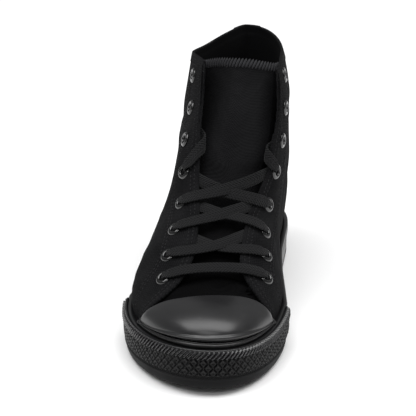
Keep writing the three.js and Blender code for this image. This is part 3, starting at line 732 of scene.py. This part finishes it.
# ---- canvas ----
def throat_y(z, side, ridge=INSTEP, margin=0.0):
    """Where a flap's free edge, or a line `margin` outside it, crosses the level z."""
    z = np.asarray(z, float)
    low = front_y(ridge, z)
    return halve(lambda y: side * (last_x(y, z, side, ridge) - throat_x(side, y)) < margin,
            low, low * 0 + 60.0)


def throat_edge(side):
    z = np.linspace(31.0, 160.0, 900)
    line = on_face(throat_y(z, side), z, side)
    return even(line, int(lengths(line)[-1] / 1.5))


def beside(line, side, distance):
    """A line on the canvas, `distance` outside a flap's free edge."""
    here, normal = face(line)
    sideways = unit(np.cross(normal, unit(np.gradient(line, axis=0))))
    sideways *= np.sign(sideways[:, :1] * side)
    return face(here + sideways * distance)


def folds(points, creases):
    """Soft troughs and ridges in the cloth: side, ends as y and z, width, and height."""
    x, y, z = np.moveaxis(points, -1, 0)
    total = np.zeros(x.shape)
    for side, y0, z0, y1, z1, width, height in creases:
        along = np.array([y1 - y0, z1 - z0], float)
        share = ((y - y0) * along[0] + (z - z0) * along[1]) / (along @ along)
        near = np.hypot(y - y0 - clamp(share) * along[0], z - z0 - clamp(share) * along[1])
        fade = smooth((share + 0.25) / 0.4) * smooth((1.25 - share) / 0.4)
        total += height * bump(near, width) * fade * smooth(x * side / 12)
    return total


QUARTER_FOLDS = [
    (-1, 20, 52, 62, 84, 5, -1.5), (-1, 26, 70, 60, 104, 5, -1.2), (-1, 4, 58, 30, 66, 5, 0.9),
    (-1, 60, 60, 96, 92, 7, -1.2), (-1, 40, 118, 84, 126, 6, -1), (-1, 44, 104, 80, 112, 5, 0.8),
    (-1, -40, 40, -22, 56, 5, -0.9), (-1, -58, 36, -44, 50, 5, -0.8), (-1, 96, 70, 112, 110, 7, -0.8),
    (1, 18, 50, 58, 82, 5, -1.3), (1, 26, 74, 62, 98, 5, -1.1), (1, 50, 110, 90, 120, 6, -1),
    (1, -44, 38, -24, 54, 5, -0.9), (1, 66, 52, 100, 80, 7, -1), (1, -66, 34, -54, 46, 5, -0.7),
    (1, 92, 66, 110, 104, 7, -0.8), (1, 34, 128, 74, 134, 6, 0.8),
]


def quarter_side(side, rise, columns):
    """Level lines of one quarter, from its free edge to the heel seam."""
    dense = eased(500)
    level = np.repeat((FOOT_LINE + (COLLAR_TOP - FOOT_LINE) * rise)[:, None], 500, axis=1)
    z = level.copy()
    for _ in range(4):
        start, end = throat_y(z[:, :1], side), follow(SHAFT, "z", "back", z[:, -1:])
        y = start + (end - start) * dense
        points = on_face(y, z, side)
        inner = np.maximum(CORNER - lengths(points, 1), 0)
        lower = 3.5 * smooth((45 - y) / 35) if side > 0 else 0.0
        collar = follow(COLLAR, "y", "z", y) - lower - (CORNER - np.sqrt(CORNER**2 - inner**2))
        z = level + smooth((rise[:, None] - 0.6) / 0.4) * (collar - COLLAR_TOP)
    return np.array([even(row, columns) for row in points])


def make_quarters():
    rise = np.concatenate([np.linspace(0, 0.92, 84), np.linspace(0.92, 1, 15)[1:]])
    lateral, medial = (quarter_side(side, rise, HEEL_COLUMN + 1) for side in (-1, 1))
    grid = np.hstack([lateral, medial[:, ::-1][:, 1:]])
    normal = normals(grid)
    from_top = lengths(grid[::-1], 0)[::-1]
    walked = lengths(grid, 1)
    from_edge = np.minimum(walked, walked[:, -1:] - walked)
    hem = 0.35 * smooth((7 - from_top) / 1.5) + 0.3 * smooth((9 - from_edge) / 2)
    lift = folds(grid, QUARTER_FOLDS) + hem
    measure = stacked(walked - walked[:, HEEL_COLUMN, None], lengths(grid, 0)) / 1000
    outer = grid + normal * lift[..., None]
    make_piece("canvas_quarters", [grid_mesh("canvas", outer, measure)], [CANVAS_MAT, LINING_MAT],
            ["upper"], thickness=CANVAS)
    return outer, normals(outer)


def make_heel_strip(grid, normal):
    """Folded canvas strip sewn over the back seam; gives its two sewing lines."""
    across = np.linspace(-STRIP, STRIP, 33)
    rise = 0.1 + 0.9 * smooth(STRIP + 0.2 - np.abs(across))
    points, ways = [], []
    for level, out in zip(grid[8:], normal[8:]):
        walked = lengths(level)
        where = walked[HEEL_COLUMN] + across
        ways.append(unit(between(out, walked, where)))
        points.append(between(level, walked, where) + ways[-1] * rise[:, None])
    points, ways = np.array(points), np.array(ways)
    make_piece("heel_strip", points, [CANVAS_MAT], thickness=0.8)
    return [(points[:-4, column], ways[:-4, column]) for column in (3, 29)]


def tongue_side(side, levels, columns):
    """Level lines of half the tongue, from its ridge; the top is rounded down at its sides."""
    dense = eased(400)
    base = z = np.repeat(levels[:, None], 400, axis=1)
    share = smooth((base - 135) / 35)
    for _ in range(3):
        margin = 10 + 20 * smooth((52 - z[:, -1:]) / 14)
        reach = throat_y(z[:, -1:], side, TONGUE_LINE, margin) - front_y(TONGUE_LINE, z[:, -1:])
        y = front_y(TONGUE_LINE, z) + np.minimum(reach, 24 + 60 * smooth((52 - z) / 14)) * dense
        points = on_face(y, z, side, TONGUE_LINE)
        z = base - share * (points[..., 0] - 10) ** 2 / 110
    return np.array([even(row, columns) for row in points])


def make_tongue():
    """Vamp and tongue in one cloth, from under the toe cap to the top of the tongue."""
    y = np.linspace(-137.6, 16.7, 900)
    line = stacked(y * 0, y, follow(TONGUE_LINE, "y", "top", y))
    levels = even(line, 150)[:, 2]
    levels = np.concatenate([levels[:-4], np.linspace(levels[-4], 171, 7)])
    left, right = (tongue_side(side, levels, 50) for side in (-1, 1))
    grid = np.hstack([left[:, ::-1], right[:, 1:]])
    above = smooth((grid[:, 15:-15, 2:] - 60) / 20)
    for _ in range(50):
        middle = (grid[:, 14:-16] + grid[:, 16:-14]) / 2
        grid[:, 15:-15] += (middle - grid[:, 15:-15]) * above / 2
    normal = normals(grid)
    x, y, z = np.moveaxis(grid, -1, 0)
    lift = np.full(x.shape, -TONGUE_FACE)
    # creases behind the toe cap, where the foot bends the vamp
    for where, width, height, slant in (
            (-98, 2.4, 0.9, 0.10), (-92, 2.2, -0.9, 0.22), (-86, 2.6, 0.8, 0.16), (-79, 2.6, -0.7, 0.05),
            (-72, 3.0, 0.6, -0.06)):
        crease = bump(y - where - slant * (x - 5) - 1.5 * np.sin(x / 7), width)
        lift += height * crease * smooth((70 - z) / 14)
    # the shaft part hangs a little hollow between the flaps
    lift -= 3.0 * smooth((z - 46) / 8) * (1 - smooth((z - 92) / 22)) * smooth((y + 100) / 10)
    lift += -1.2 * smooth((z - 95) / 30) * bump(x - 8, 16) * smooth((172 - z) / 30)
    lift += 0.5 * bump(x - 2 - 4 * np.sin(z / 23), 3) * smooth((z - 95) / 20)
    lift += 0.4 * smooth((z + (x - 10) ** 2 / 110 - 165) / 1.5)
    outer = grid + normal * lift[..., None]
    make_piece("vamp_and_tongue", outer, [TONGUE_MAT], ["tongue"], thickness=TONGUE)
    return outer, normals(outer)


# ---- sewing ----
def sew(lines, pitch, length, width, proud, segments=6, slant=0.0):
    """Stitches along lines of (points, normals): pillows of thread pressed into the cloth."""
    work = bmesh.new()
    for points, out in lines:
        walked = lengths(points)
        where = np.arange(pitch / 2, walked[-1], pitch)
        spots, before, after = (between(points, walked, where + step) for step in (0, -0.5, 0.5))
        ahead = after - before
        tall = unit(between(out, walked, where))
        run = unit(ahead - tall * np.sum(ahead * tall, axis=1, keepdims=True))
        turned = run * np.cos(slant) + np.cross(tall, run) * np.sin(slant)
        sideways = np.cross(tall, turned)
        size = np.array([length / 2, width / 2, proud]) / 1000
        for spot, *axes in zip(settle(spots), turned, sideways, tall):
            matrix = np.eye(4)
            matrix[:3] = np.column_stack([np.transpose(axes) * size, spot])
            bmesh.ops.create_uvsphere(work, u_segments=segments, v_segments=4, radius=1,
                matrix=Matrix(matrix))
    mesh = to_mesh("stitches", work)
    mesh.uv_layers.new(name="measure")
    return [mesh]


def on_cloth(line, grid, normal):
    """A sewing line moved along the cloth's normals onto its folded face."""
    spots, ways = grid.reshape(-1, 3), normal.reshape(-1, 3)
    tree = KDTree(len(spots))
    for k, spot in enumerate(spots):
        tree.insert(spot, k)
    tree.balance()
    near = np.array([tree.find(p)[1] for p in line])
    way = ways[near]
    return line + way * np.sum((spots[near] - line) * way, axis=1, keepdims=True), way


def make_sewing(grid, normal, heel_lines, tongue, tongue_normal):
    """Double rows along flaps, panels and heel strip, one under the collar, and the tongue's top."""
    lines = []
    for side in (-1, 1):
        edge = throat_edge(side)
        for distance in FLAP_SEAMS:
            lines.append(on_cloth(beside(edge, side, distance)[0], grid, normal))
        outer_edge = edge[lengths(edge) > 22]
        for distance in PANEL_SEAMS:
            line = beside(outer_edge, side, distance)[0]
            down = unit(line[:1] - line[4:5])
            tail = face(line[:1] + down * np.arange(18.0, 0.5, -1.5)[:, None])[0]
            line = np.concatenate([tail[tail[:, 2] > WALL_TOP + 1], line])
            lines.append(on_cloth(line, grid, normal))
    row = len(grid) - 8
    lines.append((grid[row, 4:-4], normal[row, 4:-4]))
    lines += heel_lines
    make_piece("seams", sew(lines, STITCH, 2.3, 0.8, 0.42), [SEAM_MAT])
    top = (tongue[-4, 2:-2], tongue_normal[-4, 2:-2])
    overlock = sew([top], 2.3, 7.4, 1.9, 1.0, segments=8, slant=radians(68))
    make_piece("tongue_overlock", overlock, [THREAD_MAT])


# ---- rubber ----
def sole_outline(t, grow, grow_toe=None):
    """The sole's plan: t is 0 at the toe, 1 at the heel by the lateral side, and 2 at the toe again."""
    grow_toe = grow if grow_toe is None else grow_toe
    front, back = TOE_Y - grow_toe, HEEL_Y + grow
    y = (front + back) / 2 - (back - front) / 2 * np.cos(pi * t)
    centre, half = plan(y, -(grow_toe + (grow - grow_toe) * smooth((y + 80) / 30)))
    heel = clamp((y - HEEL_HUB) / (HEEL_Y + grow - HEEL_HUB))
    half = half * (1 - heel**HEEL_ROUND) ** (1 / HEEL_ROUND)
    return stacked(centre + np.where(t <= 1, -1, 1) * half, y)


def even_outline(count, start=0.0, end=2.0):
    """Places at equal distances along the outline, and how far each is from the toe tip."""
    t = np.linspace(start, end, 6000)
    line = sole_outline(np.mod(t, 2), 0.0)
    walked = lengths(line)
    where = np.interp(np.linspace(0, walked[-1], count), walked, t)
    return where, np.interp(where, t, walked) - np.interp(0.0, t, walked)


def swept(t, profile):
    """Rows of the outline: grow behind the ball, grow at the toe, and height."""
    rows = []
    for grow, grow_toe, z in profile:
        line = sole_outline(np.mod(t, 2), grow, grow_toe)
        rows.append(np.hstack([line, np.full((len(t), 1), z)]))
    return np.array(rows)


def make_sidewall():
    t, _ = even_outline(420)
    heights = [8.4, 12, 16, 19.6, 20.0, 20.3, 20.7, 21.0, 21.3, 21.7, 22.0, 22.4, 22.7, 23.1, 23.4,
            23.8, 24.1, 24.5, 24.9, 25.3, 25.7, 26.0]
    profile = [(-2.6, -4.6, 8.4)] + [(0, 0, z) for z in heights]
    profile += [(-0.7, -0.7, 26.25), (-1.6, -1.6, 26.2), (-2.7, -4.7, 26.0), (-2.6, -4.6, 8.4)]
    grid = swept(t, profile)
    normal = normals(grid, wrap=True)
    y, z = grid[..., 1], grid[..., 2]
    ribs = 0.8 * bump(z - 20.9, 0.45) + 0.8 * bump(z - 22.7, 0.45) + 0.7 * smooth((z - 23.9) / 0.5)
    lift = ribs * smooth((y + 64) / 3)
    lift[0] = lift[-4:] = 0
    normal[..., 2] *= 0.2
    grid += normal * lift[..., None]
    make_piece("sidewall_foxing", grid, [WALL_MAT], ["sidewall"], True)


def ridge_wave(x, pitch, sharp=1.0):
    return (0.5 + 0.5 * np.cos(2 * pi * x / pitch)) ** sharp


def lattice(across, up):
    """Crossed slanting lines, one per unit: 1 on them and 0 in a diamond's middle."""
    first, second = (np.abs(np.mod(line, 1) - 0.5) * 2 for line in (across + up, across - up))
    return np.maximum(first, second)


def band(z, low, high, soft=0.25):
    """1 between two levels and 0 beyond them, with softened edges."""
    return smooth((z - low) / soft) * smooth((high - z) / soft)


def make_bumper():
    """Toe bumper: slanted ribs over a diamond knurl over a fine serration."""
    shares = np.linspace(0, 0.5, 400)
    half = np.interp(-61.0, sole_outline(shares, 0.0)[:, 1], shares)
    t, walked = even_outline(640, -half, half)
    z_rows = np.linspace(7.9, 26.2, 56)
    profile = [(0.3, 0.3, 7.9)] + [(BUMPER, BUMPER, z) for z in z_rows]
    top = [(BUMPER - 0.1, 26.6), (BUMPER - 0.45, 26.85), (BUMPER - 1.0, 26.9), (0.3, 26.6), (0.3, 7.9)]
    profile += [(grow, grow, z) for grow, z in top]
    grid = swept(t, profile)
    inner = swept(t, [(0.3, 0.3, row[2]) for row in profile])
    y, z = grid[..., 1], grid[..., 2]
    normal = normals(grid)
    normal[0], normal[-5:] = normal[5], normal[5]
    bulge = 0.5 * np.sin(pi * clamp((z - 8) / 19))
    s = -walked
    grooves = lattice(s / DIAMOND, (z - DIAMOND_Z) / DIAMOND_TALL)
    knurl = 1.4 * smooth((0.98 - grooves) / 0.35) - 0.6 * smooth((0.55 - grooves) / 0.4)
    slanted = 2.3 * ridge_wave(s - RIB_SLANT * z, RIB_PITCH, 1.3)
    fine = 0.3 + 0.5 * ridge_wave(s, SERRATION)
    relief = (knurl * band(z, 9.4, RIB_LOW) + slanted * band(z, RIB_LOW - 0.1, 26.1)
            + fine * band(z, 7.0, 9.3) + 0.9 * band(z, 26.2, 28)) - 0.9 + bulge
    relief[0] = relief[-2:] = 0
    relief[-5:-2] *= 0.6
    out = grid + normal * relief[..., None]
    closeness = np.sqrt(clamp(1 - clamp((y + 64.5) / 3.5) ** 2))
    out = inner + (out - inner) * closeness[..., None]
    piece = make_piece("toe_bumper_band", out, [BUMPER_MAT, RIB_HIGHLIGHT_MAT], ["toe_bumper"], True)
    # The faces of the slanted rib band take the lighter rib material, a painted highlight.
    middles = [polygon.center * 1000 for polygon in piece.data.polygons]
    rib_highlight_faces = [int(RIB_LOW < middle.z - float(spring(middle.y)) < 26.8) for middle in middles]
    piece.data.polygons.foreach_set("material_index", rib_highlight_faces)


def cap_low(y):
    """Height of the toe cap's lower edge."""
    return 30.4 - 0.035 * (y + 143)


def make_toe_cap():
    """Smooth shell over the toe: rows turned about the line between its rear corners."""
    columns = 121
    lateral, medial = on_face(-104.5, 30.5, -1), on_face(-92.5, 30.0, 1)
    axis = lateral + (medial - lateral) * eased(columns)[:, None]
    line = unit(medial - lateral)
    forward = unit(np.cross(line, [0, 0, 1.0]))
    up = np.cross(forward, line)

    def reach(angle):
        direction = up * np.cos(angle)[..., None] + forward * np.sin(angle)[..., None]
        return skin(np.broadcast_to(axis, direction.shape), direction, low=0.0, high=70.0)

    def found(test, start, end):
        return halve(lambda angle: test(*np.moveaxis(reach(angle), -1, 0)),
            np.full(columns, start), np.full(columns, end), 18)

    rear = found(lambda x, y, z: y > follow(CAP_EDGE, "x", "y", x), -0.7, 1.2)
    low = found(lambda x, y, z: z > cap_low(y), 0.7, 2.2)
    rows = [(0, 0.1), (0, 0.9), (0.001, 1.4), (0.006, 1.75), (0.014, 1.95), (0.028, 2.05)]
    rows += [(s, 2.05 + 0.5 * np.sin(pi * s)) for s in np.linspace(0.05, 0.91, 50)]
    rows += [(0.922, 2.1), (0.930, 2.05), (0.937, 2.2), (0.944, 2.55), (0.952, 2.9), (0.961, 3.05),
            (0.970, 3.0), (0.979, 2.75), (0.987, 2.3), (0.994, 1.7), (1.0, 1.1), (1.0, 0.1)]
    share, offset = np.array(rows).T
    grid = reach(rear + (low - rear) * share[:, None])
    normal = normals(grid)
    normal[:, 0], normal[:, -1] = normal[:, 2], normal[:, -3]
    normal[:2], normal[-2:] = normal[3], normal[-4]
    grid += normal * offset[:, None, None]
    make_piece("toe_cap_shell", grid, [CAP_MAT], ["toe_cap"], thickness=1.2)


def make_toe_guard():
    """Smooth band between cap and bumper, ending at the cap's rear corners."""
    rows = [(0.0, 0.2), (0.0, 1.7), (0.06, 2.3), (0.3, 2.5), (0.55, 2.4), (0.68, 2.2), (0.73, 1.7),
            (0.78, 1.6), (0.83, 1.95), (0.91, 2.0), (0.97, 1.5), (1.0, 0.9), (1.0, 0.2)]
    share, offset = np.array(rows).T
    grid = []
    dense = (1 - np.cos(pi * np.linspace(0, 0.5, 400)))
    for s in share:
        line = []
        for side, back in ((-1, -99.5), (1, -87.5)):
            y = front_y(INSTEP, 31.0) + (back - front_y(INSTEP, 31.0)) * dense
            z = 26.2 + (cap_low(y) - 0.2 - 26.2) * s
            y = np.maximum(y, front_y(INSTEP, z))
            half = on_face(y, z, side)
            line.append(half[::-1] if side < 0 else half[1:])
        grid.append(even(np.vstack(line), 200))
    grid = np.array(grid)
    normal = normals(grid)
    normal[:2], normal[-2:] = normal[3], normal[-4]
    ends = np.linspace(0, 1, 200)
    near_end = np.minimum(ends, 1 - ends) * lengths(grid[3])[-1]
    swell = 1 + 0.25 * bump(near_end - 2.0, 1.6) - 0.75 * smooth((0.9 - near_end) / 0.9)
    grid += normal * (offset[:, None] * swell)[..., None]
    make_piece("toe_guard_band", grid, [WALL_MAT], ["toe_guard"], thickness=0.9)


def make_outsole():
    t, walked = even_outline(1100)
    profile = [(-14, -12, 0.0), (-8, -6, 0.0), (-3.0, -1.6, 0.0), (-2.4, -0.9, 0.15), (-1.8, -0.1, 0.6),
            (-1.1, 0.8, 1.5), (-0.5, 1.4, 2.8), (-0.2, 1.8, 4.2), (0, 2.0, 5.6), (0, 2.1, 6.2)]
    profile += [(0, 2.2, 6.2 + 0.2 * k) for k in range(1, 9)]
    profile += [(-0.1, 2.2, 8.2), (-0.3, 2.0, 8.25), (-8, -6, 8.25), (-14, -12, 8.25), (-14, -12, 0.0)]
    grid = swept(t, profile)
    out = unit((grid[:, 2:] - grid[:, :-2])[..., [1, 0, 2]] * [1, -1, 0])
    out = np.hstack([out[:, :1], out, out[:, -1:]])
    y, z = grid[..., 1], grid[..., 2]
    teeth = 0.35 * ridge_wave(walked, SERRATION) * band(z, 6.5, 8.0, 0.3)
    teeth *= smooth((-60 - y) / 3)
    out *= np.sign(np.sum(out[..., :2] * (grid[..., :2] - core(grid)[..., :2])))
    grid += out * teeth[..., None]
    make_piece("outsole_rim", grid, [OUTSOLE_MAT], ["outsole"], True)


def plan_rows(grow, rows, columns):
    """Rows across the sole's plan, drawn in by -grow, from toe to heel."""
    t = np.linspace(0.004, 0.996, 900)
    left, right = sole_outline(t, grow), sole_outline(2 - t, grow)
    middle = (left + right) / 2
    keep = np.interp(np.linspace(0, lengths(middle)[-1], rows), lengths(middle), t)
    left, right = sole_outline(keep, grow), sole_outline(2 - keep, grow)
    return left[:, None] + (right - left)[:, None] * eased(columns)[:, None]


def make_tread():
    """Underside: low lozenge lugs, with a smooth bar under the arch."""
    flat = plan_rows(-9.0, 300, 110)
    x, y = flat[..., 0], flat[..., 1]
    grooves = lattice(x / LUG, y * 0.8 / LUG)
    groove = smooth((grooves - 0.68) / 0.16)
    arch = band(y, -22, 50, 4)
    depth = 1.9 * groove * (1 - arch) + 2.2 * arch
    grid = np.concatenate([flat, (depth + 0.02)[..., None]], axis=-1)
    make_piece("tread", grid, [OUTSOLE_MAT], thickness=3.0)


def make_insole():
    flat = plan_rows(-6.6, 150, 60)
    share = np.abs(np.linspace(-1, 1, 60))
    y = flat[..., 1]
    rise = 1.2 * share**6 + 0.5 * smooth((y - 60) / 60)
    grid = np.concatenate([flat, (12.0 + rise)[..., None]], axis=-1)
    mesh = grid_mesh("insole", grid[:, ::-1], outward=False)
    make_piece("sock_liner", [mesh], [INSOLE_MAT], ["insole"], thickness=3.2)


make_camera()
for shoe_side in (-1, 1):
    make_lace_end(shoe_side)
make_lace_bar()
for lace_row in SAG:
    make_lace_cross(lace_row)
make_studio()
for shoe_side in (-1, 1):
    make_eyelets(shoe_side)
quarters = make_quarters()
tongue = make_tongue()
make_sewing(*quarters, make_heel_strip(*quarters), *tongue)
for make in (make_sidewall, make_bumper, make_toe_guard, make_toe_cap, make_outsole, make_tread,
        make_insole):
    make()
